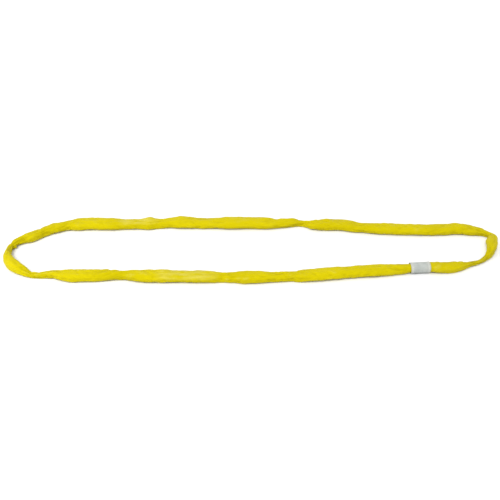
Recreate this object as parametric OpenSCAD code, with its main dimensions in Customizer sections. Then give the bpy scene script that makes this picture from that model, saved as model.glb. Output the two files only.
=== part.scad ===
// Endless polyester round sling, relaxed and laid out as a long narrow loop.
// Millimetres, +Z up. X runs along the loop and Y across it. Z = 0 is the surface that it lies on,
// and the origin is at the middle of that footprint.

/* [Sling] */
// Effective length: bearing point to bearing point, with the loop pulled straight
effective_length = 1219; // [1100:1:1400]
// Full width of the relaxed sleeve
sleeve_w = 40; // [38:0.5:42]
// Full height of the relaxed sleeve
sleeve_h = 20.5; // [20:0.5:23]

/* [Covers] */
// Wall of the outer cover
outer_wall = 1; // [0.8:0.1:1.2]
// Wall of the inner cover
inner_wall = 0.8; // [0.6:0.1:1]
// Length over which a cover's two ends lap
lap_length = 40; // [36:1:42]

/* [Core] */
// Turns of the load-bearing yarn in the bundle
turns = 8; // [6:1:10]

/* [Label] */
// Length of the label along the sleeve
label_length = 44; // [40:1:46]
// Thickness of the label
label_t = 0.8; // [0.5:0.1:1]

/* [Stitching] */
// Diameter of the sewing thread
thread_d = 0.6; // [0.4:0.1:0.6]
// Longest pitch of the stitches in a row round the sleeve
stitch_pitch = 4; // [3:0.5:6]

/* [Hidden] */
// The loop's centreline as it lies, from the middle of the label towards the left-hand end, with X and Y
// for an effective length of 1219. It is scaled to the effective length.
ROUTE = [
    [380, -70], [200, -87], [105, -99], [0, -103], [-110, -102],
    [-245, -99], [-285, -95], [-400, -97], [-440, -90], [-478, -92],
    [-507, -81], [-534, -60], [-550, -36], [-557, -6], [-556, 21],
    [-542, 40], [-498, 70], [-480, 86], [-436, 106], [-390, 112],
    [-300, 110], [-250, 113], [-170, 118], [-110, 114], [0, 116],
    [62, 112], [124, 119], [157, 106], [218, 108], [265, 96],
    [313, 91], [430, 85], [492, 90], [530, 84], [564, 73],
    [572, 48], [553, -9], [527, -36], [494, -51], [449, -65]
];
// The two route points on the fold, which halves the sling: one on the leg with the label, one on the other
FOLD_NEAR = 3;
FOLD_FAR = 24;
// How the sleeve swells and pinches along the loop: [distance from the label's middle, share of the full
// width, share of the full height]. It turns on edge round both ends of the loop. Rows also mark where the
// laps and the tape begin and end.
SHAPE = [
    [0, 0.6, 0.97], [22, 0.6, 0.97], [45, 0.6, 0.97], [65, 0.73, 0.99], [102, 0.84, 1],
    [123, 0.84, 1.01], [163, 0.83, 1.01], [193, 0.9, 1], [218, 0.9, 1], [258, 0.88, 1],
    [269, 0.77, 0.98], [281, 0.56, 0.94], [294, 0.49, 0.93], [307, 0.62, 0.96], [333, 0.62, 0.96],
    [346, 0.8, 0.99], [366, 0.88, 1], [399, 0.86, 1], [412, 0.68, 0.97], [425, 0.54, 0.94],
    [439, 0.46, 0.91], [459, 0.72, 0.97], [481, 0.86, 1], [541, 0.83, 1], [578, 0.92, 1],
    [617, 0.92, 0.99], [638, 0.68, 0.96], [652, 0.52, 0.93], [674, 0.56, 0.94], [688, 0.7, 0.97],
    [712, 0.82, 1], [728, 0.88, 1.01], [772, 0.91, 1], [789, 0.8, 0.98], [800, 0.62, 0.9],
    [820, 0.45, 0.8], [842, 0.35, 0.6], [864, 0.33, 0.56], [879, 0.48, 0.86], [897, 0.6, 1.15],
    [917, 0.67, 1.3], [932, 0.68, 1.3], [948, 0.58, 1.28], [963, 0.42, 1.2], [979, 0.32, 0.96],
    [996, 0.31, 0.76], [1017, 0.34, 0.74], [1031, 0.46, 0.92], [1050, 0.66, 1], [1073, 0.64, 1],
    [1090, 0.5, 0.93], [1111, 0.72, 1], [1128, 0.8, 1], [1144, 0.64, 0.95], [1159, 0.76, 0.98],
    [1177, 1.04, 1], [1260, 1.02, 1], [1288, 0.8, 0.97], [1323, 0.75, 0.96], [1347, 1, 1.01],
    [1371, 0.67, 0.93], [1403, 0.78, 0.97], [1417, 1.04, 1.03], [1437, 1, 1.02], [1460, 0.85, 0.98],
    [1507, 0.83, 0.98], [1544, 1.05, 1], [1603, 0.97, 1], [1627, 0.92, 1], [1640, 0.88, 0.98],
    [1656, 0.63, 0.91], [1678, 0.64, 0.92], [1702, 0.5, 0.82], [1717, 0.38, 0.7], [1733, 0.4, 0.72],
    [1749, 0.74, 0.93], [1757, 0.8, 0.97], [1796, 0.88, 0.98], [1835, 0.93, 0.98], [1866, 0.7, 0.95],
    [1889, 0.84, 0.98], [1947, 0.9, 1], [1996, 0.87, 0.99], [2047, 0.87, 0.98], [2090, 0.88, 1],
    [2119, 0.8, 0.98], [2140, 0.6, 0.9], [2153, 0.4, 0.78], [2169, 0.33, 0.6], [2182, 0.38, 0.8],
    [2192, 0.52, 1.15], [2215, 0.63, 1.3], [2228, 0.61, 1.3], [2243, 0.5, 1.2], [2257, 0.36, 0.96],
    [2271, 0.3, 0.62], [2286, 0.3, 0.54], [2306, 0.3, 0.54], [2324, 0.36, 0.66], [2340, 0.54, 0.84],
    [2362, 0.72, 0.98], [2397, 0.72, 1], [2416, 0.6, 0.97]
];
// Length of the loop that the distances in SHAPE are for
SHAPE_LOOP = 2438;
// Squareness of the sleeve's section: 2 is an ellipse, and more is boxier
SQUARENESS = 2.3;
// Sides of a cover's section, with a flat one below and above
SIDES = 12;
// Sides of a yarn's section
YARN_SIDES = 6;
// Share that one turn of yarn takes of the most that fits beside its neighbours
YARN_FILL = 0.93;
// Points worked out on the centreline between two route points
FINE = 8;
// Longest and shortest step between two sections of a sleeve
LONGEST_STEP = 60;
SHORTEST_STEP = 4;
// Clearance round the outer cover, inside and outside, which holds a row of stitches
COVER_GAP = 1;
// Clearance between the other layers
GAP = 0.4;
// Length over which a layer moves in or out at a lap or under the tape
RAMP = 25;
// Middle of the inner cover's lap, and of the tape on the core, as distances from the label's middle
INNER_LAP_AT = 143;
TAPE_AT = 238;
TAPE_LENGTH = 40;
TAPE_T = 0.5;
// Distance of a row of stitches from the edge that it holds
STITCH_MARGIN = 4;
// Share of a stitch's pitch that its thread spans
STITCH_SPAN = 0.6;
STITCH_FN = 16;
// Clearance under the thread on the label
THREAD_GAP = 0.1;
// Half of the stretch of centreline that gives its direction
AHEAD = 2;

YELLOW = "gold";
WHITE = "whitesmoke";
GREY = "lightgray";

// Centreline: a smooth closed curve through the route's points
function route_point(i) = ROUTE[(i + len(ROUTE)) % len(ROUTE)];
function curve(i, t) =
    let (a = route_point(i - 1), b = route_point(i), c = route_point(i + 1), d = route_point(i + 2))
    0.5 * (2 * b + (c - a) * t + (2 * a - 5 * b + 4 * c - d) * t * t + (3 * b - a - 3 * c + d) * t * t * t);
DRAWN = [for (i = [0:len(ROUTE) - 1], k = [0:FINE - 1]) curve(i, k / FINE)];
function drawn(i) = DRAWN[i % len(DRAWN)];
DRAWN_RUN = [
    for (i = 0, run = 0; i <= len(DRAWN); run = run + norm(drawn(i + 1) - drawn(i)), i = i + 1) run
];
SCALE = 2 * effective_length / DRAWN_RUN[len(DRAWN)];
LOOP = 2 * effective_length;
STRETCH = LOOP / SHAPE_LOOP;
X_ALONG = [for (i = [0:len(DRAWN)]) [DRAWN_RUN[i], drawn(i)[0]] * SCALE];
Y_ALONG = [for (i = [0:len(DRAWN)]) [DRAWN_RUN[i], drawn(i)[1]] * SCALE];

// Distance along the loop brought between 0 and the loop's length
function wrapped(s) = s - LOOP * floor(s / LOOP);
function place(s) = [lookup(wrapped(s), X_ALONG), lookup(wrapped(s), Y_ALONG)];
// Unit vector across the sleeve, in plan
function across(s) =
    let (along = place(s + AHEAD) - place(s - AHEAD))
    [-along[1], along[0]] / norm(along);

NEAR_S = X_ALONG[FOLD_NEAR * FINE][0];
FAR_S = X_ALONG[FOLD_FAR * FINE][0];

// Half width and half height of the sleeve
WIDTHS = concat([for (row = SHAPE) [row[0] * STRETCH, row[1]]], [[LOOP, SHAPE[0][1]]]);
HEIGHTS = concat([for (row = SHAPE) [row[0] * STRETCH, row[2]]], [[LOOP, SHAPE[0][2]]]);
function half_w(s) = sleeve_w / 2 * lookup(wrapped(s), WIDTHS);
function half_h(s) = sleeve_h / 2 * lookup(wrapped(s), HEIGHTS);

// 1 within reach of the place "at", falling to 0 over RAMP on each side
function near(s, at, reach) =
    let (away = abs(wrapped(s - at + LOOP / 2) - LOOP / 2))
    min(1, max(0, (reach + RAMP - away) / RAMP));

// How far each layer lies inside the sleeve's surface
OUTER_LAP_STEP = outer_wall + GAP;
INNER_LAP_STEP = inner_wall + GAP;
TAPE_STEP = TAPE_T + GAP;
function outer_inset(s, tucked) = tucked ? OUTER_LAP_STEP * near(s, 0, lap_length / 2) : 0;
function under_outer(s) = outer_wall + COVER_GAP + OUTER_LAP_STEP * near(s, 0, lap_length / 2);
function inner_inset(s, tucked) =
    under_outer(s) + (tucked ? INNER_LAP_STEP * near(s, INNER_LAP_AT, lap_length / 2) : 0);
function tape_inset(s) =
    under_outer(s) + inner_wall + GAP + INNER_LAP_STEP * near(s, INNER_LAP_AT, lap_length / 2);
function core_inset(s) = tape_inset(s) + TAPE_STEP * near(s, TAPE_AT, TAPE_LENGTH / 2);
LABEL_GAP = COVER_GAP;
LABEL_TOP = LABEL_GAP + label_t;
THREAD_TOP = LABEL_TOP + THREAD_GAP + thread_d;

// Height of the sleeve's middle. The label and its thread lift the sleeve a little off the ground.
FLAT = pow(cos(180 / SIDES), 2 / SQUARENESS);
function middle_z(s) = FLAT * half_h(s) + THREAD_TOP * near(s, 0, label_length / 2);

// Point of a section, from coordinates [across, up] that reach 1 on the layer's surface
function section_point(s, inset, p) =
    let (centre = place(s), side = across(s), u = (half_w(s) - inset) * p[0])
    [centre[0] + side[0] * u, centre[1] + side[1] * u, middle_z(s) + (half_h(s) - inset) * p[1]];
function rounded(v) = sign(v) * pow(abs(v), 2 / SQUARENESS);
RING = [
    for (i = [0:SIDES - 1])
        let (angle = (i + 0.5) * 360 / SIDES)
        [rounded(cos(angle)), rounded(sin(angle))]
];

// Places of the sections between a and b: one at each row of SHAPE, and more where those are far apart
KNOTS = [for (turn = [-1:1], row = SHAPE) row[0] * STRETCH + turn * LOOP];
function between(a, b) =
    let (
        inside = [for (k = KNOTS) if (k > a + SHORTEST_STEP && k < b - SHORTEST_STEP) k],
        ends = concat([a], inside, [b])
    )
    [
        for (i = [0:len(ends) - 2])
            let (n = ceil((ends[i + 1] - ends[i]) / LONGEST_STEP))
            for (k = [0:n - 1]) ends[i] + (ends[i + 1] - ends[i]) * k / n,
        b
    ];

// The sling's footprint is centred on the origin
FOOTPRINT = [for (s = between(0, LOOP), p = RING) section_point(s, 0, p)];
CENTRE = [
    (max([for (p = FOOTPRINT) p[0]]) + min([for (p = FOOTPRINT) p[0]])) / 2,
    (max([for (p = FOOTPRINT) p[1]]) + min([for (p = FOOTPRINT) p[1]])) / 2,
    0
];

// Triangles between the ring of n points that starts at a and the one that starts at b
function band(a, b, n) = [
    for (i = [0:n - 1])
        let (j = (i + 1) % n)
        each [[a + i, b + j, a + j], [a + i, b + i, b + j]]
];
function fan(a, n) = [for (i = [1:n - 2]) [a, a + i, a + i + 1]];
function flipped(faces) = [for (f = faces) [f[2], f[1], f[0]]];

// Hollow tube through the places, with its outer and inner surfaces at the given insets
module tube(places, insets, wall) {
    n = SIDES;
    rings = len(places);
    inside = rings * n;
    points = [
        for (depth = [0, wall], i = [0:rings - 1], p = RING)
            section_point(places[i], insets[i] + depth, p) - CENTRE
    ];
    skin = [for (i = [0:rings - 2]) each band(i * n, (i + 1) * n, n)];
    lining = [for (i = [0:rings - 2]) each flipped(band(inside + i * n, inside + (i + 1) * n, n))];
    start = band(inside, 0, n);
    end = band((rings - 1) * n, inside + (rings - 1) * n, n);
    polyhedron(points, concat(skin, lining, start, end));
}

// One turn of the core's yarn between two places. Over a whole loop each turn shifts into its neighbour's
// place, so that all the turns are one continuous yarn.
module yarn(turn, places) {
    n = YARN_SIDES;
    reach = cos(180 / SIDES);
    most = sin(180 / turns) / (1 + sin(180 / turns));
    points = [
        for (s = places, i = [0:n - 1])
            let (slot = 360 * (turn + s / LOOP) / turns, angle = slot + 360 * i / n)
            section_point(
                s, core_inset(s),
                reach * ((1 - most) * [cos(slot), sin(slot)] + YARN_FILL * most * [cos(angle), sin(angle)])
            ) - CENTRE
    ];
    last = (len(places) - 1) * n;
    sides = [for (i = [0:len(places) - 2]) each band(i * n, (i + 1) * n, n)];
    polyhedron(points, concat(sides, fan(0, n), flipped(fan(last, n))));
}

// Straight stitch of thread from p to q
module stitch(p, q) {
    way = q - p;
    translate(p - CENTRE)
        rotate([0, acos(way[2] / norm(way)), atan2(way[1], way[0])])
            cylinder(h = norm(way), d = thread_d, $fn = STITCH_FN);
}

// Row of stitches round the sleeve at one place, along the flat sides of the layer at the given inset
module stitch_row(s, inset) {
    for (i = [0:SIDES - 1]) {
        p = section_point(s, inset, RING[i]);
        q = section_point(s, inset, RING[(i + 1) % SIDES]);
        count = ceil(norm(q - p) / stitch_pitch);
        step = (q - p) / count;
        for (k = [0:count - 1])
            stitch(p + (k + 0.5 - STITCH_SPAN / 2) * step, p + (k + 0.5 + STITCH_SPAN / 2) * step);
    }
}

// Outer cover, right half: from its tucked-in end to the fold, and from the fold to its lapping end
module outer_cover_right() {
    first = between(-lap_length / 2, NEAR_S);
    second = between(FAR_S, LOOP + lap_length / 2);
    color(YELLOW) tube(first, [for (s = first) outer_inset(s, true)], outer_wall);
    color(YELLOW) tube(second, [for (s = second) outer_inset(s, false)], outer_wall);
}

// Outer cover, left half
module outer_cover_left() {
    places = between(NEAR_S, FAR_S);
    color(YELLOW) tube(places, [for (s = places) outer_inset(s, false)], outer_wall);
}

// Inner cover, right half
module inner_cover_right() {
    first = between(INNER_LAP_AT - lap_length / 2, NEAR_S);
    second = between(FAR_S, LOOP + INNER_LAP_AT + lap_length / 2);
    color(WHITE) tube(first, [for (s = first) inner_inset(s, true)], inner_wall);
    color(WHITE) tube(second, [for (s = second) inner_inset(s, false)], inner_wall);
}

// Inner cover, left half
module inner_cover_left() {
    places = between(NEAR_S, FAR_S);
    color(WHITE) tube(places, [for (s = places) inner_inset(s, false)], inner_wall);
}

// Load-bearing yarn, right half of every turn
module core_yarn_right() {
    for (turn = [0:turns - 1]) color(WHITE) yarn(turn, between(FAR_S - LOOP, NEAR_S));
}

// Load-bearing yarn, left half of every turn
module core_yarn_left() {
    for (turn = [0:turns - 1]) color(WHITE) yarn(turn, between(NEAR_S, FAR_S));
}

// Band of tape round the bundle where the yarn's two ends meet
module core_end_tape() {
    places = [for (end = [-1, 0, 1]) TAPE_AT + end * TAPE_LENGTH / 2];
    color("khaki") tube(places, [for (s = places) tape_inset(s)], TAPE_T);
}

// Identification label wrapped round the outer cover's lap
module label() {
    places = [for (end = [-1, 0, 1]) end * label_length / 2];
    color(GREY) tube(places, [for (s = places) -LABEL_TOP], label_t);
}

// Thread along the label's two edges
module label_stitching() {
    for (end = [-1, 1])
        color(WHITE)
            stitch_row(end * (label_length / 2 - STITCH_MARGIN), -LABEL_TOP - THREAD_GAP - thread_d / 2);
}

// Thread through the outer cover's lap, under the label
module outer_cover_stitching() {
    for (end = [-1, 1])
        color(YELLOW) stitch_row(end * (lap_length / 2 - 2 * STITCH_MARGIN), -LABEL_GAP / 2);
}

// Thread through the inner cover's lap
module inner_cover_stitching() {
    for (end = [-1, 1]) {
        s = INNER_LAP_AT + end * (lap_length / 2 - 2 * STITCH_MARGIN);
        color(WHITE) stitch_row(s, under_outer(s) - COVER_GAP / 2);
    }
}

outer_cover_right();
outer_cover_left();
inner_cover_right();
inner_cover_left();
core_yarn_right();
core_yarn_left();
core_end_tape();
label();
label_stitching();
outer_cover_stitching();
inner_cover_stitching();
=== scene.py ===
"""Looks of a yellow polyester round sling that lies relaxed as a long narrow loop.

Metres, in the CAD frame: X runs along the loop, Y across it, and Z up from the surface that it lies on.
A station is a distance along the sling's centreline from the label's middle, towards the left-hand end.
A turn is a share of the way round the sleeve, from below, outwards from the loop and up.
"""

import math

import bpy
import numpy as np
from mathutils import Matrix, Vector, noise


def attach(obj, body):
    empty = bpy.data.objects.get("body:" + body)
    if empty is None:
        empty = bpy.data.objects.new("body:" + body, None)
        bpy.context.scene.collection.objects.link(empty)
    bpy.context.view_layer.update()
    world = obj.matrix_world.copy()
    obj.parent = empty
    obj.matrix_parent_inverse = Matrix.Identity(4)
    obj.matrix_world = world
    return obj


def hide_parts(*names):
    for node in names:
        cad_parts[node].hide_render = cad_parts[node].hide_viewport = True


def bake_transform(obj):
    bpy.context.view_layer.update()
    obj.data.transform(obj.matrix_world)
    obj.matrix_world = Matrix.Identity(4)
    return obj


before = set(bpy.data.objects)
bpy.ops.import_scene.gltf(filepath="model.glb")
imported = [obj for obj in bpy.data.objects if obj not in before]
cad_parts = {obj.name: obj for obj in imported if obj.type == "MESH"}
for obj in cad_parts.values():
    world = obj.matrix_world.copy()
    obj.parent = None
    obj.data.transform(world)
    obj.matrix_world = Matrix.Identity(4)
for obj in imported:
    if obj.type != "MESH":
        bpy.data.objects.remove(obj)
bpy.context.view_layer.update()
MM = 0.001

# ---------------------------------------------------------------------------------------------------------
# Sizes, as in the CAD model
# ---------------------------------------------------------------------------------------------------------

LOOP = 2.438
SLEEVE_W = 0.040
SLEEVE_H = 0.0205
LAP_LENGTH = 0.040
OUTER_WALL = 0.001
INNER_WALL = 0.0008
# Core: turns of the yarn, and the tape over its ends
TURNS = 8
TAPE_AT = 0.238
TAPE_LENGTH = 0.040
TAPE_T = 0.5 * MM
LABEL_LENGTH = 0.044
# How far the label and its thread lift the sleeve off the floor
LABEL_LIFT = 0.0018
INNER_LAP_AT = 0.143
STITCH_MARGIN = 0.004
# Clearances between the layers, and inside the outer cover, which leaves its wrinkles room
LAYER_GAP = 0.4 * MM
COVER_GAP = 2.2 * MM
# Length over which a layer moves in or out at a lap or under the tape
RAMP = 0.025

# The centreline's points in millimetres, from the label's middle towards the left-hand end. They are scaled
# a little, to make the loop's length.
ROUTE = [
    [380, -70], [200, -87], [105, -99], [0, -103], [-110, -102],
    [-245, -99], [-285, -95], [-400, -97], [-440, -90], [-478, -92],
    [-507, -81], [-534, -60], [-550, -36], [-557, -6], [-556, 21],
    [-542, 40], [-498, 70], [-480, 86], [-436, 106], [-390, 112],
    [-300, 110], [-250, 113], [-170, 118], [-110, 114], [0, 116],
    [62, 112], [124, 119], [157, 106], [218, 108], [265, 96],
    [313, 91], [430, 85], [492, 90], [530, 84], [564, 73],
    [572, 48], [553, -9], [527, -36], [494, -51], [449, -65],
]
# How the sleeve swells and pinches: [station in millimetres, share of the full width, share of the height]
SHAPE = [
    [0, 0.6, 0.97], [22, 0.6, 0.97], [45, 0.6, 0.97], [65, 0.73, 0.99], [102, 0.84, 1],
    [123, 0.84, 1.01], [163, 0.83, 1.01], [193, 0.9, 1], [218, 0.9, 1], [258, 0.88, 1],
    [269, 0.77, 0.98], [281, 0.56, 0.94], [294, 0.49, 0.93], [307, 0.62, 0.96], [333, 0.62, 0.96],
    [346, 0.8, 0.99], [366, 0.88, 1], [399, 0.86, 1], [412, 0.68, 0.97], [425, 0.54, 0.94],
    [439, 0.46, 0.91], [459, 0.72, 0.97], [481, 0.86, 1], [541, 0.83, 1], [578, 0.92, 1],
    [617, 0.92, 0.99], [638, 0.68, 0.96], [652, 0.52, 0.93], [674, 0.56, 0.94], [688, 0.7, 0.97],
    [712, 0.82, 1], [728, 0.88, 1.01], [772, 0.91, 1], [789, 0.8, 0.98], [800, 0.62, 0.9],
    [820, 0.45, 0.8], [842, 0.35, 0.6], [864, 0.33, 0.56], [879, 0.48, 0.86], [897, 0.6, 1.15],
    [917, 0.67, 1.3], [932, 0.68, 1.3], [948, 0.58, 1.28], [963, 0.42, 1.2], [979, 0.32, 0.96],
    [996, 0.31, 0.76], [1017, 0.34, 0.74], [1031, 0.46, 0.92], [1050, 0.66, 1], [1073, 0.64, 1],
    [1090, 0.5, 0.93], [1111, 0.72, 1], [1128, 0.8, 1], [1144, 0.64, 0.95], [1159, 0.76, 0.98],
    [1177, 1.04, 1], [1260, 1.02, 1], [1288, 0.8, 0.97], [1323, 0.75, 0.96], [1347, 1, 1.01],
    [1371, 0.67, 0.93], [1403, 0.78, 0.97], [1417, 1.04, 1.03], [1437, 1, 1.02], [1460, 0.85, 0.98],
    [1507, 0.83, 0.98], [1544, 1.05, 1], [1603, 0.97, 1], [1627, 0.92, 1], [1640, 0.88, 0.98],
    [1656, 0.63, 0.91], [1678, 0.64, 0.92], [1702, 0.5, 0.82], [1717, 0.38, 0.7], [1733, 0.4, 0.72],
    [1749, 0.74, 0.93], [1757, 0.8, 0.97], [1796, 0.88, 0.98], [1835, 0.93, 0.98], [1866, 0.7, 0.95],
    [1889, 0.84, 0.98], [1947, 0.9, 1], [1996, 0.87, 0.99], [2047, 0.87, 0.98], [2090, 0.88, 1],
    [2119, 0.8, 0.98], [2140, 0.6, 0.9], [2153, 0.4, 0.78], [2169, 0.33, 0.6], [2182, 0.38, 0.8],
    [2192, 0.52, 1.15], [2215, 0.63, 1.3], [2228, 0.61, 1.3], [2243, 0.5, 1.2], [2257, 0.36, 0.96],
    [2271, 0.3, 0.62], [2286, 0.3, 0.54], [2306, 0.3, 0.54], [2324, 0.36, 0.66], [2340, 0.54, 0.84],
    [2362, 0.72, 0.98], [2397, 0.72, 1], [2416, 0.6, 0.97],
]
# Squareness of the sleeve's section: 2 is an ellipse, and more is boxier
SQUARENESS = 2.3

# ---------------------------------------------------------------------------------------------------------
# Centreline
# ---------------------------------------------------------------------------------------------------------

# Stations at which the centreline and the section are worked out
GRID = np.arange(0, LOOP, MM)
# Places worked out on the centreline between two of its points
FINE = 8
# Half of the stretch of centreline that gives its direction
AHEAD = 2 * MM
# Lengths over which the centreline and the section are evened out
CENTRE_SOFTNESS = 0.006
SECTION_SOFTNESS = 0.004
# Height of the sleeve's middle, as a share of its half height
SETTLED = 0.97


def softened(values, reach):
    """Values on the grid of stations, evened out along the loop over about the given reach."""
    away = (np.arange(len(GRID)) + len(GRID) // 2) % len(GRID) - len(GRID) // 2
    weight = np.exp(-0.5 * (away * MM / reach) ** 2)
    return np.real(np.fft.ifft(np.fft.fft(values) * np.fft.fft(weight / weight.sum())))


def smooth_curve(points, fine):
    """Smooth closed curve through the points, with fine places from one to the next."""
    a, b, c, d = (np.roll(points, shift, axis=0)[:, None, :] for shift in (1, 0, -1, -2))
    t = (np.arange(fine) / fine)[None, :, None]
    curve = 0.5 * (2 * b + (c - a) * t + (2 * a - 5 * b + 4 * c - d) * t**2 + (3 * b - a - 3 * c + d) * t**3)
    return curve.reshape(-1, points.shape[1])


def on_grid(stations, values, reach):
    """Values at some stations, as evened-out values on the grid."""
    return softened(np.interp(GRID, stations, values, period=LOOP), reach)


drawn = smooth_curve(np.array(ROUTE) * MM, FINE)
steps = np.linalg.norm(np.roll(drawn, -1, axis=0) - drawn, axis=1)
drawn_run = np.concatenate([[0], np.cumsum(steps)[:-1]])
SCALE = LOOP / steps.sum()
X_ON_GRID = on_grid(drawn_run * SCALE, drawn[:, 0] * SCALE, CENTRE_SOFTNESS)
Y_ON_GRID = on_grid(drawn_run * SCALE, drawn[:, 1] * SCALE, CENTRE_SOFTNESS)
shape = np.array(SHAPE)
HALF_W_ON_GRID = on_grid(shape[:, 0] * MM, shape[:, 1] * SLEEVE_W / 2, SECTION_SOFTNESS)
HALF_H_ON_GRID = on_grid(shape[:, 0] * MM, shape[:, 2] * SLEEVE_H / 2, SECTION_SOFTNESS)


def at(values, s):
    """Value at the stations s of something given on the grid."""
    return np.interp(s, GRID, values, period=LOOP)


def across(s):
    """Unit vectors across the sleeve, in plan."""
    along = np.stack([at(v, s + AHEAD) - at(v, s - AHEAD) for v in (X_ON_GRID, Y_ON_GRID)], axis=-1)
    along /= np.linalg.norm(along, axis=-1, keepdims=True)
    return np.stack([-along[..., 1], along[..., 0]], axis=-1)


def near(s, place, reach, ramp=RAMP):
    """1 within reach of the place, falling to 0 over the ramp on each side."""
    away = np.abs((s - place + LOOP / 2) % LOOP - LOOP / 2)
    return np.clip((reach + ramp - away) / ramp, 0, 1)


def middle_z(s):
    """Height of the sleeve's middle. The label and its thread lift the sleeve a little."""
    return at(HALF_H_ON_GRID, s) * SETTLED + LABEL_LIFT * near(s, 0, LABEL_LENGTH / 2)


def sleeve_points(s, u, v):
    """Points at the stations s, u across the sleeve and v above its middle."""
    side = across(s)
    x = at(X_ON_GRID, s) + side[..., 0] * u
    y = at(Y_ON_GRID, s) + side[..., 1] * u
    return np.stack([x, y, middle_z(s) + v], axis=-1) - CENTRE


# The footprint is centred on the origin
CENTRE = np.zeros(3)
rims = np.concatenate([sleeve_points(GRID, side * HALF_W_ON_GRID, 0) for side in (-1, 1)])
CENTRE = np.array([*(rims.min(axis=0) + rims.max(axis=0))[:2] / 2, 0])

# ---------------------------------------------------------------------------------------------------------
# Camera
# ---------------------------------------------------------------------------------------------------------

CAMERA_ELEVATION = math.radians(35)
CAMERA_FOV = math.radians(35)
CAMERA_DISTANCE = 1.822
CAMERA_TARGET = Vector((-CENTRE[0], -CENTRE[1], 0.0102))

camera = bpy.data.objects.new("camera", bpy.data.cameras.new("camera"))
bpy.context.scene.collection.objects.link(camera)
camera.data.angle = CAMERA_FOV
back = Vector((0, -math.cos(CAMERA_ELEVATION), math.sin(CAMERA_ELEVATION)))
camera.location = CAMERA_TARGET + back * CAMERA_DISTANCE
camera.rotation_euler = (-back).to_track_quat("-Z", "Y").to_euler()
bpy.context.scene.camera = camera

# ---------------------------------------------------------------------------------------------------------
# Mesh helpers
# ---------------------------------------------------------------------------------------------------------

# Points round a section's outline, from which its girth is measured
SECTION_POINTS = 361


def section(half_w, half_h, turns):
    """Places [u, v] at these turns of sections, and the sections' girths."""
    angle = np.linspace(0, 2 * math.pi, SECTION_POINTS) - math.pi / 2
    c, s = np.cos(angle), np.sin(angle)
    unit_u = np.sign(c) * np.abs(c) ** (2 / SQUARENESS)
    unit_v = np.sign(s) * np.abs(s) ** (2 / SQUARENESS)
    places = np.empty((len(half_w), len(turns), 2))
    girth = np.empty(len(half_w))
    for i, (w, h) in enumerate(zip(half_w, half_h)):
        u, v = unit_u * w, unit_v * h
        run = np.concatenate([[0], np.cumsum(np.hypot(np.diff(u), np.diff(v)))])
        girth[i] = run[-1]
        for axis, values in enumerate((u, v)):
            places[i, :, axis] = np.interp(turns * run[-1], run, values, period=run[-1])
    return places, girth


def layer(s, inset, turns):
    """Rings of points round the sleeve, so deep inside its smooth surface, and their girths."""
    uv, girth = section(at(HALF_W_ON_GRID, s) - inset, at(HALF_H_ON_GRID, s) - inset, turns)
    return sleeve_points(s[:, None] + 0 * uv[..., 0], uv[..., 0], uv[..., 1]), girth


def whole_ring(count):
    """Evenly spaced turns, all the way round."""
    return np.arange(count) / count


def outward(points):
    """Unit normals of a closed grid of rings."""
    along = np.gradient(points, axis=0)
    around = np.roll(points, -1, axis=1) - np.roll(points, 1, axis=1)
    normal = np.cross(around, along)
    return normal / np.linalg.norm(normal, axis=-1, keepdims=True)


def smoothstep(x):
    x = np.clip(x, 0, 1)
    return x * x * (3 - 2 * x)


def add_object(name, points, faces, uvs):
    """Smooth mesh object. The UVs are each corner's place on the fabric, along and round it, in metres."""
    mesh = bpy.data.meshes.new(name)
    mesh.from_pydata(points.reshape(-1, 3).tolist(), [], faces.tolist())
    flat_uvs = np.concatenate([np.ravel(corners) for corners in uvs])
    mesh.uv_layers.new(name="fabric").data.foreach_set("uv", flat_uvs.astype(np.float32))
    mesh.polygons.foreach_set("use_smooth", [True] * len(mesh.polygons))
    mesh.update()
    made = bpy.data.objects.new(name, mesh)
    bpy.context.scene.collection.objects.link(made)
    return made


def grid(rings, count, first=0):
    """Quads between rings of points, and the corners of each as steps along and round the grid."""
    i, j = np.meshgrid(np.arange(rings - 1), np.arange(count), indexing="ij")
    k = (j + 1) % count
    quads = np.stack([i * count + j, i * count + k, (i + 1) * count + k, (i + 1) * count + j], axis=-1)
    steps_on = [np.stack(corner, axis=-1) for corner in ((i, j), (i, j + 1), (i + 1, j + 1), (i + 1, j))]
    corners = np.stack(steps_on, axis=-2)
    return quads.reshape(-1, 4) + first, corners.reshape(-1, 4, 2)


def tube(name, skin, skin_s, lining, lining_s, girth):
    """Hollow tube with as many points in each ring of its skin as of its lining, closed at both ends."""
    count = skin.shape[1]
    around = girth / count
    first, last = 0, (len(skin) - 1) * count
    back_first, back_last = len(skin) * count, (len(skin) + len(lining) - 1) * count
    faces, corners = grid(len(skin), count)
    back_faces, back_corners = grid(len(lining), count, back_first)
    uvs = np.stack([skin_s[corners[..., 0]], corners[..., 1] * around], axis=-1)
    back_uvs = np.stack([lining_s[back_corners[..., 0]], back_corners[..., 1] * around], axis=-1)
    j = np.arange(count)
    k = (j + 1) % count
    rim = np.stack([first + j, back_first + j, back_first + k, first + k], axis=-1)
    back_rim = np.stack([last + k, back_last + k, back_last + j, last + j], axis=-1)
    rim_uvs = np.zeros((count, 4, 2))
    points = np.concatenate([skin.reshape(-1, 3), lining.reshape(-1, 3)])
    all_faces = np.concatenate([faces, back_faces[:, ::-1], rim, back_rim])
    return add_object(name, points, all_faces, [uvs, back_uvs[:, ::-1], rim_uvs, rim_uvs])


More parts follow.
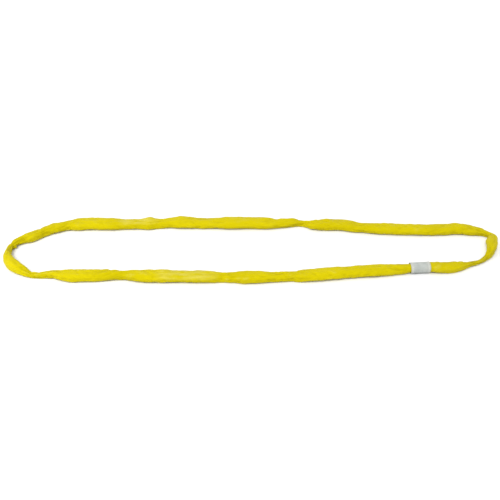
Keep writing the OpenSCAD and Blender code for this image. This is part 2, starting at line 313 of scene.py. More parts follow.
def bars(name, grids, along, around):
    """Solid bars in one mesh, whose UVs have the steps along and around.

    Each is a grid of rings with an even number of points, and quads across the ring close its ends.
    """
    faces, uvs, points, first = [], [], [], 0
    for rings in grids:
        count = rings.shape[1]
        quads, corners = grid(len(rings), count, first)
        last = first + (len(rings) - 1) * count
        i = np.arange(count // 2 - 1)
        cap = np.stack([i, i + 1, count - 2 - i, count - 1 - i], axis=-1)
        faces += [quads, first + cap[:, ::-1], last + cap]
        uvs += [corners * [along, around], np.zeros((2 * len(cap), 4, 2))]
        points.append(rings.reshape(-1, 3))
        first += rings.shape[0] * count
    return add_object(name, np.concatenate(points), np.concatenate(faces), uvs)


def add_values(piece, name, values):
    """Values at the piece's first points, and 0 at the rest, which its material reads by this name."""
    every = np.zeros(len(piece.data.vertices), np.float32)
    every[:values.size] = values.ravel()
    piece.data.attributes.new(name, "FLOAT", "POINT").data.foreach_set("value", every)


def bend_at_fold(piece):
    """The piece runs over the fold. Its place is baked into its points, and nothing bends it."""
    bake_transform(piece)


# ---------------------------------------------------------------------------------------------------------
# Depths of the layers inside the sleeve's surface, as in the CAD model
# ---------------------------------------------------------------------------------------------------------

OUTER_LAP_STEP = OUTER_WALL + LAYER_GAP
INNER_LAP_STEP = INNER_WALL + LAYER_GAP
TAPE_STEP = TAPE_T + LAYER_GAP


def tucked(s, lap_at, step):
    """Depth of a cover's first end, which lies under its last. Here s isn't brought into one loop."""
    return step * smoothstep((lap_at + LAP_LENGTH / 2 + RAMP - s) / RAMP)


def under_outer(s):
    return OUTER_WALL + COVER_GAP + OUTER_LAP_STEP * near(s, 0, LAP_LENGTH / 2)


def under_inner(s):
    return under_outer(s) + INNER_WALL + LAYER_GAP + INNER_LAP_STEP * near(s, INNER_LAP_AT, LAP_LENGTH / 2)


def under_tape(s):
    return under_inner(s) + TAPE_STEP * near(s, TAPE_AT, TAPE_LENGTH / 2)


# ---------------------------------------------------------------------------------------------------------
# Outer cover
# ---------------------------------------------------------------------------------------------------------

COVER_RINGS = 1200
COVER_SIDES = 64
# Rings of the skin for each ring of the lining
LINING_EVERY = 4
# Length beside the label over which the wrinkles begin
FLAT_EDGE = 0.012
# All heights of wrinkles and folds are in millimetres.
# The deepest that one goes, which keeps it clear of the inner cover, and how gently it is held there
DEEPEST = -1.9
DEEPEST_EASE = 0.15
USUAL_DEPTH = -0.5
# How noise becomes folds: the softness of the creases between them, their height for noise of 1, and what
# is taken off, so that they are about 0 on average
CREASE = 0.04
PUFF = 2.8
PUFF_MEAN = 0.56
# Wrinkles along the sleeve, wrinkles that lean across it, small dents, and pleats where the cover has slack
ALONG_HEIGHT = 0.8
LEANING_HEIGHT = 0.9
DENT_HEIGHT = 0.4
PLEAT_HEIGHT = 2.6
PLEAT_DEPTH = -1.2
# Single folds of slack fabric, out from the sleeve or, below 0, into it:
# [station in millimetres, turn round it, reach before, reach after, reach round it in turns, height]
FOLDS = [
    [49, 0.62, 14, 12, 0.12, 1.6], [81, 0.15, 20, 20, 0.12, 1.2], [280, 0.13, 18, 18, 0.12, 2.2],
    [325, 0.14, 16, 14, 0.12, 2.3], [401, 0.55, 22, 8, 0.10, 1.2], [435, 0.12, 26, 26, 0.12, 3.0],
    [638, 0.60, 28, 8, 0.10, 1.2], [825, 0.15, 16, 16, 0.12, 1.8], [868, 0.58, 7, 7, 0.12, -1.5],
    [883, 0.82, 5, 12, 0.14, 2.2], [889, 0.62, 4, 10, 0.10, 1.0], [1003, 0.48, 6, 8, 0.12, 1.6],
    [1008, 0.78, 4, 7, 0.12, 6.0], [1021, 0.36, 7, 9, 0.14, 2.5], [1049, 0.72, 5, 26, 0.17, 3.5],
    [1033, 0.86, 8, 12, 0.04, -2.0], [1092, 0.40, 16, 10, 0.12, 2.0], [1305, 0.35, 12, 12, 0.10, 1.2],
    [1351, 0.40, 14, 8, 0.12, 2.5], [1379, 0.83, 16, 16, 0.12, 2.2], [1375, 0.38, 6, 10, 0.10, -1.5],
    [1428, 0.42, 12, 10, 0.12, 0.8], [1538, 0.36, 20, 16, 0.12, 1.6], [1643, 0.45, 30, 8, 0.10, 2.0],
    [1671, 0.42, 10, 8, 0.08, 2.5], [1693, 0.45, 8, 8, 0.08, 2.0], [1742, 0.45, 12, 12, 0.12, 1.8],
    [1748, 0.86, 12, 12, 0.12, -1.5], [1755, 0.12, 8, 24, 0.12, 3.0], [1785, 0.35, 12, 10, 0.12, 2.2],
    [1873, 0.55, 14, 20, 0.10, 1.5], [2048, 0.35, 26, 22, 0.12, 1.4], [2128, 0.83, 20, 14, 0.12, 1.5],
    [2187, 0.42, 8, 12, 0.14, 2.5], [2207, 0.75, 10, 12, 0.12, 3.5], [2214, 0.36, 12, 12, 0.14, -1.2],
    [2255, 0.70, 5, 7, 0.10, 1.2], [2290, 0.65, 12, 10, 0.14, -1.5], [2295, 0.17, 14, 12, 0.16, -1.8],
    [2344, 0.58, 14, 12, 0.12, -1.3], [2358, 0.12, 22, 26, 0.14, 3.0],
]


def wrinkle_noise(s, round_places, length, width, turned=0.0, seed=0):
    """Noise in folds of this length and width, on the line of the sleeve or turned from it in degrees."""
    c, d = math.cos(math.radians(turned)), math.sin(math.radians(turned))
    a = s * c + round_places[..., 0] * d
    b = round_places[..., 0] * c - s * d
    places = np.stack([a / length, b / width + seed, round_places[..., 1] / width - seed], axis=-1)
    return np.array([noise.noise(p) for p in places.reshape(-1, 3)]).reshape(a.shape)


def puffed(values):
    """Noise turned into rounded folds with creases between them."""
    return np.sqrt(values**2 + CREASE**2) * PUFF - PUFF_MEAN


def fold_heights(s, turns):
    """Heights of the single folds, in millimetres."""
    heights = np.zeros((len(s), len(turns)))
    for station, turn, before, after, reach, height in FOLDS:
        away = (s - station * MM)[:, None]
        along = np.where(away < 0, away / (before * MM), away / (after * MM))
        around = ((turns - turn + 0.5) % 1 - 0.5)[None, :] / reach
        heights += height * np.exp(-(along**2) - around**2)
    return heights


def held(heights):
    """The heights in millimetres, eased so that none is below the deepest that the cover goes."""
    return DEEPEST + DEEPEST_EASE * np.logaddexp(0, (heights - DEEPEST) / DEEPEST_EASE)


def wrinkles(s, turns):
    """How far the outer cover's wrinkles stand out from the smooth sleeve, in millimetres."""
    places, girth = section(at(HALF_W_ON_GRID, s), at(HALF_H_ON_GRID, s), turns)
    station = s[:, None] + 0 * places[..., 0]
    slack = np.clip(1 - girth / girth.max(), 0, 1)[:, None]
    # Wrinkles lean one way at some stations and the other way at others
    leaning = smoothstep(wrinkle_noise(station, 0 * places, 0.09, 1, seed=3) * 1.6 + 0.45)

    heights = USUAL_DEPTH + ALONG_HEIGHT * puffed(wrinkle_noise(station, places, 0.09, 0.013, 4, seed=10))
    one_way = puffed(wrinkle_noise(station, places, 0.045, 0.012, 32, seed=20))
    other_way = puffed(wrinkle_noise(station, places, 0.045, 0.012, -35, seed=30))
    heights += LEANING_HEIGHT * leaning * one_way
    heights += LEANING_HEIGHT * (1 - leaning) * other_way
    heights += DENT_HEIGHT * wrinkle_noise(station, places, 0.013, 0.008, seed=40)
    pleats = puffed(wrinkle_noise(station, places, 0.05, 0.0045, 8, seed=50))
    heights += slack * (PLEAT_HEIGHT * pleats + PLEAT_DEPTH)
    return heights


# Stretches with a painted sheen, pale patches of highlight on top: [middle, reach] in millimetres
SHEEN_PATCHES = [[517, 52], [1323, 32]]
SHEEN_PATCHES_EDGE = 20
# The turn where the painted sheen is strongest, just outwards from the top
SHEEN_PATCHES_TURN = 0.47


def painted_sheen_share(s, turns):
    """Share of painted sheen highlight on the cover, from 0 to 1."""
    stretch = sum(near(s, middle * MM, reach * MM, SHEEN_PATCHES_EDGE * MM) for middle, reach in SHEEN_PATCHES)
    on_top = smoothstep((np.cos((turns - SHEEN_PATCHES_TURN) * 2 * math.pi) - 0.1) / 0.7)
    return stretch[:, None] * on_top[None, :]


def make_outer_cover():
    s = np.linspace(-LAP_LENGTH / 2, LOOP + LAP_LENGTH / 2, COVER_RINGS + 1)
    turns = whole_ring(COVER_SIDES)
    inset = tucked(s, 0, OUTER_LAP_STEP)
    smooth, girth = layer(s, inset, turns)
    flat = 1 - near(s, 0, LABEL_LENGTH / 2, FLAT_EDGE)[:, None]
    wrinkled = wrinkles(s, turns)
    heights = held(wrinkled + fold_heights(s, turns)) * flat
    skin = smooth + outward(smooth) * (heights * MM)[..., None]
    skin[..., 2] = np.maximum(skin[..., 2], 0)
    lining_s = s[::LINING_EVERY]
    lining_inset = inset + OUTER_WALL - DEEPEST * MM * flat[:, 0]
    lining, _ = layer(lining_s, lining_inset[::LINING_EVERY], turns)
    piece = tube("outer_cover", skin, s, lining, lining_s, girth.max())
    # Heights of the wrinkles, from which the material paints shade in the creases and a highlight on the
    # ridges
    add_values(piece, "ridge", held(wrinkled) * flat)
    add_values(piece, "painted_sheen", painted_sheen_share(s, turns))
    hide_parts("outer_cover_right", "outer_cover_left")
    bend_at_fold(piece)
    return piece, s


outer_cover, cover_stations = make_outer_cover()

# ---------------------------------------------------------------------------------------------------------
# Inner cover, core and tape
# ---------------------------------------------------------------------------------------------------------

INNER_STEP = 0.006
INNER_SIDES = 36
# The deepest dent in the inner cover, in millimetres
INNER_DENT = 0.35
YARN_STEP = 0.008
YARN_SIDES = 12
# Shares of the room inside the tape that the bundle takes, and of the room beside its neighbours that one
# turn of yarn takes
YARN_REACH = 0.96
YARN_FILL = 0.93
# The yarn's strands, the length over which they turn once, and how deep the groove between two is
YARN_STRANDS = 3
YARN_LAY = 0.09
YARN_GROOVE = 0.07
# The tape's first and last turn, where its end starts to climb over its start, and how many turns it climbs
TAPE_TURNS = (-0.2, 0.95)
TAPE_OVERLAP_AT = 0.72
TAPE_CLIMB = 0.08
# One layer's share of the tape's thickness in the CAD model
TAPE_LAYER = 0.6
# Points along the tape and round it
TAPE_STEPS = (11, 60)


def make_inner_cover():
    start, end = INNER_LAP_AT - LAP_LENGTH / 2, LOOP + INNER_LAP_AT + LAP_LENGTH / 2
    s = np.linspace(start, end, round((end - start) / INNER_STEP) + 1)
    turns = whole_ring(INNER_SIDES)
    inset = under_outer(s) + tucked(s, INNER_LAP_AT, INNER_LAP_STEP)
    smooth, girth = layer(s, inset, turns)
    places, _ = section(at(HALF_W_ON_GRID, s), at(HALF_H_ON_GRID, s), turns)
    dents = wrinkle_noise(s[:, None] + 0 * places[..., 0], places, 0.04, 0.008, 6, seed=70)
    skin = smooth - outward(smooth) * (np.clip(dents + 0.2, 0, INNER_DENT) * MM)[..., None]
    lining = skin - outward(skin) * INNER_WALL
    piece = tube("inner_cover", skin, s, lining, s, girth.max())
    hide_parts("inner_cover_right", "inner_cover_left")
    bend_at_fold(piece)
    return piece


def make_core_yarn():
    """One yarn that runs round the loop turn after turn, each time one place further round the bundle."""
    length = TURNS * LOOP
    run = TAPE_AT + np.linspace(0.5 * MM, length - 0.5 * MM, round(length / YARN_STEP))
    place = (run / LOOP * 2 * math.pi / TURNS)[:, None]
    angle = place + (np.arange(YARN_SIDES) / YARN_SIDES * 2 * math.pi)[None, :]
    # Largest radius that lets the yarn's turns lie side by side in a ring, as a share of the bundle's
    most = math.sin(math.pi / TURNS) / (1 + math.sin(math.pi / TURNS))
    twist = run[:, None] / YARN_LAY * 2 * math.pi
    strands = 1 + YARN_GROOVE * (np.cos(YARN_STRANDS * (angle - twist)) - 1)
    radius = YARN_FILL * most * strands
    half_w = YARN_REACH * (at(HALF_W_ON_GRID, run) - under_tape(run))[:, None]
    half_h = YARN_REACH * (at(HALF_H_ON_GRID, run) - under_tape(run))[:, None]
    u = half_w * ((1 - most) * np.cos(place) + radius * np.cos(angle))
    v = half_h * ((1 - most) * np.sin(place) + radius * np.sin(angle))
    rings = sleeve_points(run[:, None] + 0 * u, u, v)
    piece = bars("core_yarn", [rings], YARN_STEP, MM)
    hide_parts("core_yarn_right", "core_yarn_left")
    bend_at_fold(piece)
    return piece


def strip_surface(s, turns, inset):
    """Points at the stations and turns, at the depths given for each of them."""
    smooth, _ = layer(s, 0 * s, turns)
    below, _ = layer(s, 0 * s + MM, turns)
    down = below - smooth
    return smooth + down / np.linalg.norm(down, axis=-1, keepdims=True) * inset[..., None]


def wrapped_strip(name, s, turns, inset_outside, inset_inside, along, around):
    """Strip wound round the sleeve over the stations s. Its insets are given for each station and turn."""
    outside = strip_surface(s, turns, inset_outside)
    inside = strip_surface(s, turns, inset_inside)
    return bars(name, [np.concatenate([outside, inside[:, ::-1]], axis=1)], along, around)


def make_core_end_tape():
    """Cloth tape wound once and a bit round the bundle, over the yarn's two ends."""
    s = TAPE_AT + np.linspace(-0.5, 0.5, TAPE_STEPS[0]) * TAPE_LENGTH
    turns = np.linspace(*TAPE_TURNS, TAPE_STEPS[1])
    thickness = TAPE_T * TAPE_LAYER
    climb = smoothstep((turns - TAPE_OVERLAP_AT) / TAPE_CLIMB)[None, :] * thickness * 1.2
    inside = under_inner(s)[:, None] + TAPE_T + LAYER_GAP / 2 - climb
    along = TAPE_LENGTH / (TAPE_STEPS[0] - 1)
    piece = wrapped_strip("core_tape_wrap", s, turns, inside - thickness, inside, along, MM)
    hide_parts("core_end_tape")
    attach(piece, "right_half")
    return piece


inner_cover = make_inner_cover()
core_yarn = make_core_yarn()
core_end_tape = make_core_end_tape()

# ---------------------------------------------------------------------------------------------------------
# Label
# ---------------------------------------------------------------------------------------------------------

LABEL_T = 0.6 * MM
LABEL_GAP = 0.35 * MM
# The label's first and last turn, where its end starts to climb over its start, and how many turns it climbs
LABEL_TURNS = (-0.14, 0.94)
LABEL_OVERLAP_AT = 0.80
LABEL_CLIMB = 0.06
# Points along the label and round it, and about how far it is from one to the next round it
LABEL_STEPS = (45, 121)
LABEL_STEP_ROUND = 0.6 * MM
# Depth of its crumples, and what its turned-under edges add
LABEL_CRUMPLE = 0.3 * MM
HEM_HEIGHT = 0.25 * MM
# Width of a turned-under edge, and of the ruled table between them, and height of the table's rows
LABEL_HEM = 5.5 * MM
LABEL_TABLE = 29 * MM
LABEL_ROW = 4.8 * MM


def label_lift(s, turns):
    """Height of the label's underside over the sleeve. Its last stretch lies on its first."""
    climb = smoothstep((turns - LABEL_OVERLAP_AT) / LABEL_CLIMB)[None, :] * (LABEL_T + 0.3 * MM)
    place = np.stack(np.broadcast_arrays(s[:, None] / 0.016, turns[None, :] * 5, 0.5), axis=-1)
    crumple = np.array([noise.noise(p) for p in place.reshape(-1, 3)]).reshape(place.shape[:2])
    return LABEL_GAP + climb + LABEL_CRUMPLE * np.clip(crumple, -0.5, 0.5)


def label_top(s, turns):
    """Height of the label's outside over the sleeve. Its two cut edges are turned under, so thicker."""
    hem = smoothstep((np.abs(s) - (LABEL_LENGTH / 2 - LABEL_HEM)) / MM)
    rounded_edge = smoothstep((LABEL_LENGTH / 2 - np.abs(s)) / (0.8 * MM))
    return label_lift(s, turns) + (LABEL_T * (0.5 + 0.5 * rounded_edge) + HEM_HEIGHT * hem)[:, None]


def make_label():
    s = np.linspace(-0.5, 0.5, LABEL_STEPS[0]) * LABEL_LENGTH
    turns = np.linspace(*LABEL_TURNS, LABEL_STEPS[1])
    piece = wrapped_strip(
        "woven_label", s, turns, -label_top(s, turns), -label_lift(s, turns),
        LABEL_LENGTH / (LABEL_STEPS[0] - 1), LABEL_STEP_ROUND,
    )
    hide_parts("label")
    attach(piece, "right_half")
    return piece


label = make_label()

# ---------------------------------------------------------------------------------------------------------
# Stitching
# ---------------------------------------------------------------------------------------------------------

THREAD_R = 0.25 * MM
THREAD_SIDES = 6
THREAD_RINGS = 5
# Depth of a stitch's ends in the fabric and its rise from them to its middle, in radii of the thread, and
# the share of the thread's thickness that its ends keep
THREAD_DIP = 1.2
THREAD_RISE = 1.7
THREAD_END = 0.6
# About how far it is from one side of the thread to the next
THREAD_STEP_ROUND = 0.3 * MM
STITCH_PITCH = 3.6 * MM
# Share of the pitch that the thread spans
STITCH_SPAN = 0.72
# Length and pitch of the seam along the label, where its end lies on its start
SEAM_LENGTH = 28 * MM
SEAM_PITCH = 3.5 * MM


def thread(p, q, up):
    """Rings round one stitch from p to q, which dips into the fabric at its two ends."""
    way = (q - p) / np.linalg.norm(q - p)
    side = np.cross(up, way)
    t = np.linspace(0, 1, THREAD_RINGS)[:, None, None]
    arch = np.sin(math.pi * t)
    angle = (np.arange(THREAD_SIDES) / THREAD_SIDES * 2 * math.pi)[None, :, None]
    middle = p + (q - p) * t + up * THREAD_R * (THREAD_RISE * arch - THREAD_DIP)
    radius = THREAD_R * (THREAD_END + (1 - THREAD_END) * arch)
    return middle + radius * (np.cos(angle) * side + np.sin(angle) * up)


def stitches(stations, turns, height):
    """Stitches from each place [station, turn] to the next, at a height over the smooth sleeve."""
    made = []
    for a in range(len(stations) - 1):
        s = np.interp([0.5 - STITCH_SPAN / 2, 0.5 + STITCH_SPAN / 2], [0, 1], stations[a:a + 2])
        t = np.interp([0.5 - STITCH_SPAN / 2, 0.5 + STITCH_SPAN / 2], [0, 1], turns[a:a + 2])
        lift = height(s, t)
        low, high = (
            np.diagonal(strip_surface(s, t, -lift - extra), axis1=0, axis2=1).T for extra in (0, MM)
        )
        up = high.mean(axis=0) - low.mean(axis=0)
        made.append(thread(low[0], low[1], up / np.linalg.norm(up)))
    return made


def stitch_row(s, height, first_turn=0.0):
    """Stitches all the way round the sleeve at one station."""
    _, girth = layer(np.array([s]), 0, whole_ring(4))
    count = round(girth[0] / STITCH_PITCH)
    return stitches(np.full(count + 1, s), first_turn + np.arange(count + 1) / count, height)


def make_stitching(node, rows):
    piece = bars(node + "_thread", rows, MM, THREAD_STEP_ROUND)
    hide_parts(node)
    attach(piece, "right_half")
    return piece


def make_label_stitching():
    rows = []
    for end in (-1, 1):
        rows += stitch_row(end * (LABEL_LENGTH / 2 - STITCH_MARGIN), label_top, LABEL_OVERLAP_AT - 0.86)
    seam = np.arange(-SEAM_LENGTH / 2, SEAM_LENGTH / 2 + MM, SEAM_PITCH)
    rows += stitches(seam, np.full(len(seam), LABEL_TURNS[1] - 0.03), label_top)
    return make_stitching("label_stitching", rows)


def make_cover_stitching(node, lap_at, depth):
    """Two rows through a cover's lap, on the surface that lies at the given depth."""
    rows = []
    for end in (-1, 1):
        s = lap_at + end * (LAP_LENGTH / 2 - 2 * STITCH_MARGIN)
        rows += stitch_row(s, lambda station, turn: np.full((len(station), len(turn)), -depth))
    return make_stitching(node, rows)


label_stitching = make_label_stitching()
outer_cover_stitching = make_cover_stitching("outer_cover_stitching", 0, 0)
inner_cover_stitching = make_cover_stitching(
    "inner_cover_stitching", INNER_LAP_AT, OUTER_WALL + COVER_GAP
)

# ---------------------------------------------------------------------------------------------------------
# Materials
# ---------------------------------------------------------------------------------------------------------


class Shader:
    """A node material, built up on one Principled shader."""

    def __init__(self, name, **sockets):
        self.material = bpy.data.materials.new(name)
        self.material.use_nodes = True
        self.nodes = self.material.node_tree.nodes
        self.links = self.material.node_tree.links
        self.surface = self.nodes["Principled BSDF"]
        for socket, value in sockets.items():
            self.surface.inputs[socket.replace("_", " ")].default_value = value

    def plug(self, socket, value):
        """Give an input socket a value, or link it to another node's output."""
        if isinstance(value, bpy.types.NodeSocket):
            self.links.new(value, socket)
        else:
            socket.default_value = value

    def node(self, kind, inputs=(), **settings):
        made = self.nodes.new(kind)
        for name, value in settings.items():
            setattr(made, name, value)
        for name, value in dict(inputs).items():
            self.plug(made.inputs[name], value)
        return made

    def maths(self, operation, a, b=0.0):
        made = self.node("ShaderNodeMath", operation=operation)
        self.plug(made.inputs[0], a)
        self.plug(made.inputs[1], b)
        return made.outputs[0]

    def mixed(self, share, a, b):
        """Colour a, with this share of it turned into b."""
        made = self.node("ShaderNodeMix", {"Factor": share}, data_type="RGBA")
        self.plug(made.inputs["A"], a)
        self.plug(made.inputs["B"], b)
        return made.outputs["Result"]

    def fabric(self):
        """The place on the fabric, in metres."""
        return self.node("ShaderNodeUVMap", uv_map="fabric").outputs["UV"]

    def fabric_axes(self):
        """The places along the fabric and round it, in metres."""
        apart = self.node("ShaderNodeSeparateXYZ", {"Vector": self.fabric()})
        return apart.outputs["X"], apart.outputs["Y"]

    def position(self):
        """The place in space, in metres."""
        return self.node("ShaderNodeTexCoord").outputs["Object"]

    def attribute(self, name):
        return self.node("ShaderNodeAttribute", attribute_name=name).outputs["Fac"]

    def noise(self, vector, scale, detail=3.0):
        inputs = {"Vector": vector, "Scale": scale, "Detail": detail, "Roughness": 0.55}
        return self.node("ShaderNodeTexNoise", inputs).outputs["Fac"]

    def stretched(self, vector, along, around):
        """The place on the fabric, scaled along it and round it, for noise in streaks."""
        inputs = {"Vector": vector, "Scale": (along, around, 1)}
        return self.node("ShaderNodeMapping", inputs).outputs["Vector"]

    def between(self, share, low, high):
        """The share, from 0 to 1, as a number from low to high."""
        made = self.node("ShaderNodeMapRange", {"Value": share, "To Min": low, "To Max": high})
        return made.outputs["Result"]

    def ramp(self, value, start, end):
        """0 up to the start, 1 past the end, and eased between them. The end may be below the start."""
        inputs = {"Value": value, "From Min": start, "From Max": end}
        return self.node("ShaderNodeMapRange", inputs, interpolation_type="SMOOTHSTEP").outputs["Result"]

    def wave(self, value, pitch):
        """Sine with its crests a pitch apart, from -1 to 1."""
        return self.maths("SINE", self.maths("MULTIPLY", value, 2 * math.pi / pitch))

    def plain_weave(self, along, around, pitch):
        """Height of a plain weave from 0 to 1, whose threads are half a pitch apart."""
        over = self.maths("MULTIPLY", self.wave(along, pitch), self.wave(around, pitch))
        ribs = self.maths("ABSOLUTE", self.wave(around, 2 * pitch))
        return self.maths("ADD", self.maths("MULTIPLY", over, 0.35), self.maths("MULTIPLY", ribs, 0.45))

    def bump(self, height, distance, under=None):
        """Normal of a surface that stands out by up to the distance, in metres, over another bump."""
        inputs = {"Height": height, "Distance": distance, "Strength": 1.0}
        if under is not None:
            inputs["Normal"] = under
        return self.node("ShaderNodeBump", inputs).outputs["Normal"]

    def finish(self, **sockets):
        """Plug the last values into the Principled shader."""
        for socket, value in sockets.items():
            self.plug(self.surface.inputs[socket.replace("_", " ")], value)
        return self.material


def colour(r, g, b):
    return (r, g, b, 1.0)


# Twice the distance between two threads of a weave
COVER_WEAVE = 1.8 * MM
TAPE_WEAVE = 1.2 * MM
LABEL_WEAVE = 1.0 * MM

COVER_DEEP = colour(0.500, 0.418, 0.001)
COVER_MIDDLE = colour(0.555, 0.468, 0.002)
# Painted shade, for the creases of the wrinkles and the gaps of the weave
COVER_PAINTED_SHADE = colour(0.340, 0.270, 0.001)
# Painted highlight, for the ridges of the wrinkles and the sheen patches on top
COVER_PAINTED_HIGHLIGHT = colour(0.600, 0.535, 0.110)
INNER_DARK = colour(0.74, 0.73, 0.67)
INNER_LIGHT = colour(0.81, 0.80, 0.76)
INNER_GAP_SHADE = colour(0.50, 0.48, 0.42)
YARN_DARK = colour(0.72, 0.72, 0.68)
YARN_LIGHT = colour(0.86, 0.86, 0.83)
YARN_GROOVE_SHADE = colour(0.5, 0.49, 0.44)
TAPE_DARK = colour(0.58, 0.50, 0.31)
TAPE_LIGHT = colour(0.68, 0.61, 0.41)
TAPE_GAP_SHADE = colour(0.4, 0.33, 0.19)
LABEL_DARK = colour(0.320, 0.345, 0.320)
LABEL_LIGHT = colour(0.385, 0.405, 0.380)
LABEL_HEM_COLOUR = colour(0.45, 0.45, 0.41)
LABEL_LINES = colour(0.22, 0.24, 0.25)
LABEL_SOILED = colour(0.36, 0.35, 0.29)
WHITE_THREAD = colour(0.82, 0.82, 0.78), colour(0.55, 0.54, 0.49)
YELLOW_THREAD = colour(0.70, 0.61, 0.04), colour(0.45, 0.36, 0.01)


def cover_material():
    """Yellow polyester: threads of the weave, dye that varies, a painted highlight on the ridges, painted
    shade in the creases and between the threads, and a painted sheen in pale patches on top.
    """
    m = Shader(
        "cover_fabric", Specular_IOR_Level=0.18, Specular_Tint=colour(1, 0.88, 0.05),
        Sheen_Weight=0.03, Sheen_Roughness=0.35, Sheen_Tint=colour(1, 0.92, 0.3),
    )
    fabric = m.fabric()
    along, around = m.fabric_axes()
    place = m.position()
    ridge = m.attribute("ridge")

    dyed = m.ramp(m.noise(place, 9, 2), 0.3, 0.7)
    base = m.mixed(dyed, COVER_DEEP, COVER_MIDDLE)
    streaks = m.ramp(m.noise(m.stretched(fabric, 25, 260), 1, 3), 0.35, 0.75)
    base = m.mixed(m.maths("MULTIPLY", streaks, 0.35), base, COVER_DEEP)
    # Painted shade: darker in the creases, where the wrinkles are deepest
    painted_crease_shade = m.ramp(ridge, -0.7, -1.8)
    base = m.mixed(m.maths("MULTIPLY", painted_crease_shade, 0.5), base, COVER_PAINTED_SHADE)
    # Painted highlight: paler on the ridges, where the wrinkles stand out most
    painted_ridge_highlight = m.maths("MULTIPLY", m.ramp(ridge, 0.0, 1.6), m.ramp(m.noise(place, 140, 4), 0.3, 0.7))
    base = m.mixed(m.maths("MULTIPLY", painted_ridge_highlight, 0.35), base, COVER_PAINTED_HIGHLIGHT)
    # Painted sheen highlight: pale patches on top of the sleeve
    patches = m.ramp(m.noise(m.stretched(fabric, 40, 120), 1, 4), 0.3, 0.7)
    painted_sheen = m.maths("MULTIPLY", m.attribute("painted_sheen"), patches)
    base = m.mixed(m.maths("MULTIPLY", painted_sheen, 0.6), base, COVER_PAINTED_HIGHLIGHT)
    weave = m.plain_weave(along, around, COVER_WEAVE)
    # Painted shade: darker between the threads of the weave
    base = m.mixed(m.maths("MULTIPLY", m.ramp(weave, 0.4, -0.1), 0.4), base, COVER_PAINTED_SHADE)

    normal = m.bump(m.noise(place, 160, 3), 0.5 * MM)
    normal = m.bump(m.noise(m.stretched(fabric, 60, 900), 1, 2), 0.2 * MM, normal)
    normal = m.bump(weave, 0.35 * MM, normal)
    return m.finish(Base_Color=base, Normal=normal, Roughness=m.between(m.noise(place, 200, 2), 0.5, 0.7))


def inner_material():
    """Undyed woven polyester, slightly yellowed and open in its weave, with painted shade between its
    threads.
    """
    m = Shader("inner_fabric", Sheen_Weight=0.2, Sheen_Roughness=0.4, Specular_IOR_Level=0.3)
    along, around = m.fabric_axes()
    place = m.position()
    weave = m.plain_weave(along, around, COVER_WEAVE)
    yellowed = m.ramp(m.noise(place, 25, 3), 0.35, 0.65)
    base = m.mixed(yellowed, INNER_DARK, INNER_LIGHT)
    # Painted shade: darker between the threads of the weave
    base = m.mixed(m.maths("MULTIPLY", m.ramp(weave, 0.3, -0.1), 0.3), base, INNER_GAP_SHADE)
    normal = m.bump(weave, 0.3 * MM, m.bump(m.noise(place, 150, 3), 0.5 * MM))
    return m.finish(Base_Color=base, Normal=normal, Roughness=0.85)


def yarn_material():
    """Bulked filament yarn: fine fibres on a twist, with painted shade in the grooves between its strands.
    """
    m = Shader("core_yarn", Sheen_Weight=0.3, Sheen_Roughness=0.3, Specular_IOR_Level=0.4)
    along, around = m.fabric_axes()
    lay = m.maths("ADD", m.maths("MULTIPLY", along, 0.13), around)
    turned = m.node("ShaderNodeCombineXYZ", {"X": along, "Y": lay}).outputs["Vector"]
    fibres = m.noise(m.stretched(turned, 40, 1800), 1, 3)
    strands = m.maths("ABSOLUTE", m.wave(lay, 2 * MM))
    base = m.mixed(m.ramp(fibres, 0.35, 0.65), YARN_DARK, YARN_LIGHT)
    # Painted shade: darker in the grooves between the strands
    base = m.mixed(m.maths("MULTIPLY", m.ramp(strands, 0.5, 0.0), 0.35), base, YARN_GROOVE_SHADE)
    normal = m.bump(strands, 0.4 * MM, m.bump(fibres, 0.3 * MM))
    return m.finish(Base_Color=base, Normal=normal, Roughness=0.7)


def tape_material():
    """Tan cloth tape with a faint weave, smudges and painted shade between its threads."""
    m = Shader("tape", Specular_IOR_Level=0.5)
    along, around = m.fabric_axes()
    place = m.position()
    weave = m.plain_weave(along, around, TAPE_WEAVE)
    smudged = m.ramp(m.noise(place, 60, 4), 0.3, 0.7)
    base = m.mixed(smudged, TAPE_DARK, TAPE_LIGHT)
    # Painted shade: darker between the threads of the weave
    base = m.mixed(m.maths("MULTIPLY", m.ramp(weave, 0.3, 0.0), 0.25), base, TAPE_GAP_SHADE)
    normal = m.bump(weave, 0.15 * MM)
    return m.finish(Base_Color=base, Normal=normal, Roughness=m.between(m.noise(place, 90, 2), 0.3, 0.6))


def ruled_table(m, along, around, from_middle):
    """Share of ruled line, from 0 to 1, in a blank table of three columns."""
    in_table = m.ramp(from_middle, LABEL_TABLE / 2 + 0.5 * MM, LABEL_TABLE / 2)
    column_lines = m.ramp(m.maths("ABSOLUTE", m.wave(along, 2 * LABEL_TABLE / 3)), 0.07, 0.03)
    row_lines = m.ramp(m.maths("ABSOLUTE", m.wave(around, 2 * LABEL_ROW)), 0.14, 0.06)
    return m.maths("MULTIPLY", m.maths("MAXIMUM", column_lines, row_lines), in_table)


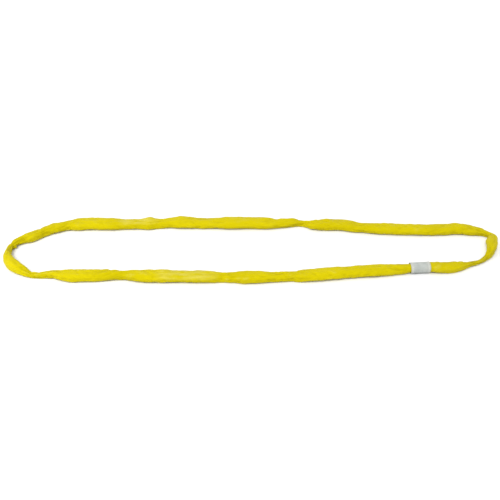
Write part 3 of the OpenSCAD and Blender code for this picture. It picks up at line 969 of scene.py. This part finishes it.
def label_material():
    """Coated light grey label: a fine weave, paler hems, a blank ruled table and some soiling."""
    m = Shader("label_fabric", Specular_IOR_Level=0.5)
    along, around = m.fabric_axes()
    place = m.position()
    from_middle = m.maths("ABSOLUTE", m.maths("SUBTRACT", along, LABEL_LENGTH / 2))

    clouded = m.ramp(m.noise(place, 60, 3), 0.35, 0.65)
    base = m.mixed(clouded, LABEL_DARK, LABEL_LIGHT)
    hem = m.ramp(from_middle, LABEL_LENGTH / 2 - LABEL_HEM - MM, LABEL_LENGTH / 2 - LABEL_HEM)
    base = m.mixed(m.maths("MULTIPLY", hem, 0.5), base, LABEL_HEM_COLOUR)
    ruled = ruled_table(m, along, around, from_middle)
    base = m.mixed(m.maths("MULTIPLY", ruled, 0.45), base, LABEL_LINES)
    soiled = m.ramp(m.noise(place, 45, 5), 0.55, 0.75)
    base = m.mixed(m.maths("MULTIPLY", soiled, 0.3), base, LABEL_SOILED)

    weave = m.plain_weave(along, around, LABEL_WEAVE)
    normal = m.bump(weave, 0.1 * MM, m.bump(m.noise(place, 90, 3), 0.4 * MM))
    return m.finish(Base_Color=base, Normal=normal, Roughness=m.between(m.noise(place, 120, 2), 0.3, 0.55))


def thread_material(name, light, dark):
    """Twisted sewing thread, with painted shade in the grooves of its twist."""
    m = Shader(name, Sheen_Weight=0.2, Sheen_Roughness=0.3, Specular_IOR_Level=0.4)
    along, around = m.fabric_axes()
    twist = m.wave(m.maths("ADD", along, around), 0.9 * MM)
    # Painted shade: darker in the grooves of the twist
    base = m.mixed(m.ramp(twist, -0.8, 0.4), dark, light)
    dulled = m.ramp(m.noise(m.position(), 300, 2), 0.4, 0.7)
    base = m.mixed(m.maths("MULTIPLY", dulled, 0.3), base, dark)
    return m.finish(Base_Color=base, Normal=m.bump(twist, 0.1 * MM), Roughness=0.6)


for piece, material in (
    (outer_cover, cover_material()),
    (inner_cover, inner_material()),
    (core_yarn, yarn_material()),
    (core_end_tape, tape_material()),
    (label, label_material()),
    (label_stitching, thread_material("label_thread", *WHITE_THREAD)),
    (outer_cover_stitching, thread_material("cover_thread", *YELLOW_THREAD)),
    (inner_cover_stitching, thread_material("inner_thread", *WHITE_THREAD)),
):
    piece.data.materials.append(material)

# ---------------------------------------------------------------------------------------------------------
# The path along the sling's centreline, closed on itself
# ---------------------------------------------------------------------------------------------------------

path = sleeve_points(cover_stations, 0 * cover_stations, 0 * cover_stations)

# ---------------------------------------------------------------------------------------------------------
# Studio
# ---------------------------------------------------------------------------------------------------------

FLOOR_HALF = 30
FLOOR_GREY = colour(0.8, 0.8, 0.8)
SKY_STRENGTH = 1.0
KEY_STRENGTH = 1.4
KEY_ANGLE = math.radians(17)
# The key light comes from the front left and above, the same over the whole floor
KEY_DIRECTION = Vector((1.0, 2.6, -4.4))
# A weaker light near the left end makes that end a little brighter
FILL_STRENGTH = 14
FILL_SIZE = 1.0
FILL_PLACE = Vector((-1.5, -0.8, 1.2))
FILL_AIM = Vector((-0.4, 0, 0))

bpy.context.scene.view_settings.view_transform = "Standard"
world = bpy.data.worlds.new("studio")
world.use_nodes = True
sky = world.node_tree.nodes["Background"]
sky.inputs["Color"].default_value = colour(1, 1, 1)
sky.inputs["Strength"].default_value = SKY_STRENGTH
bpy.context.scene.world = world

floor_mesh = bpy.data.meshes.new("floor")
floor_corners = [(x * FLOOR_HALF, y * FLOOR_HALF, 0) for x, y in ((-1, -1), (1, -1), (1, 1), (-1, 1))]
floor_mesh.from_pydata(floor_corners, [], [(0, 1, 2, 3)])
floor = bpy.data.objects.new("floor", floor_mesh)
bpy.context.scene.collection.objects.link(floor)
floor_paint = Shader("floor_paint", Roughness=0.9, Base_Color=FLOOR_GREY, Specular_IOR_Level=0.1)
floor.data.materials.append(floor_paint.material)


def add_light(name, kind, strength, direction):
    light = bpy.data.objects.new(name, bpy.data.lights.new(name, kind))
    light.data.energy = strength
    light.rotation_euler = direction.to_track_quat("-Z", "Y").to_euler()
    bpy.context.scene.collection.objects.link(light)
    return light


key_light = add_light("key_light", "SUN", KEY_STRENGTH, KEY_DIRECTION)
key_light.data.angle = KEY_ANGLE
fill_light = add_light("fill_light", "AREA", FILL_STRENGTH, FILL_AIM - FILL_PLACE)
fill_light.data.size = FILL_SIZE
fill_light.location = FILL_PLACE
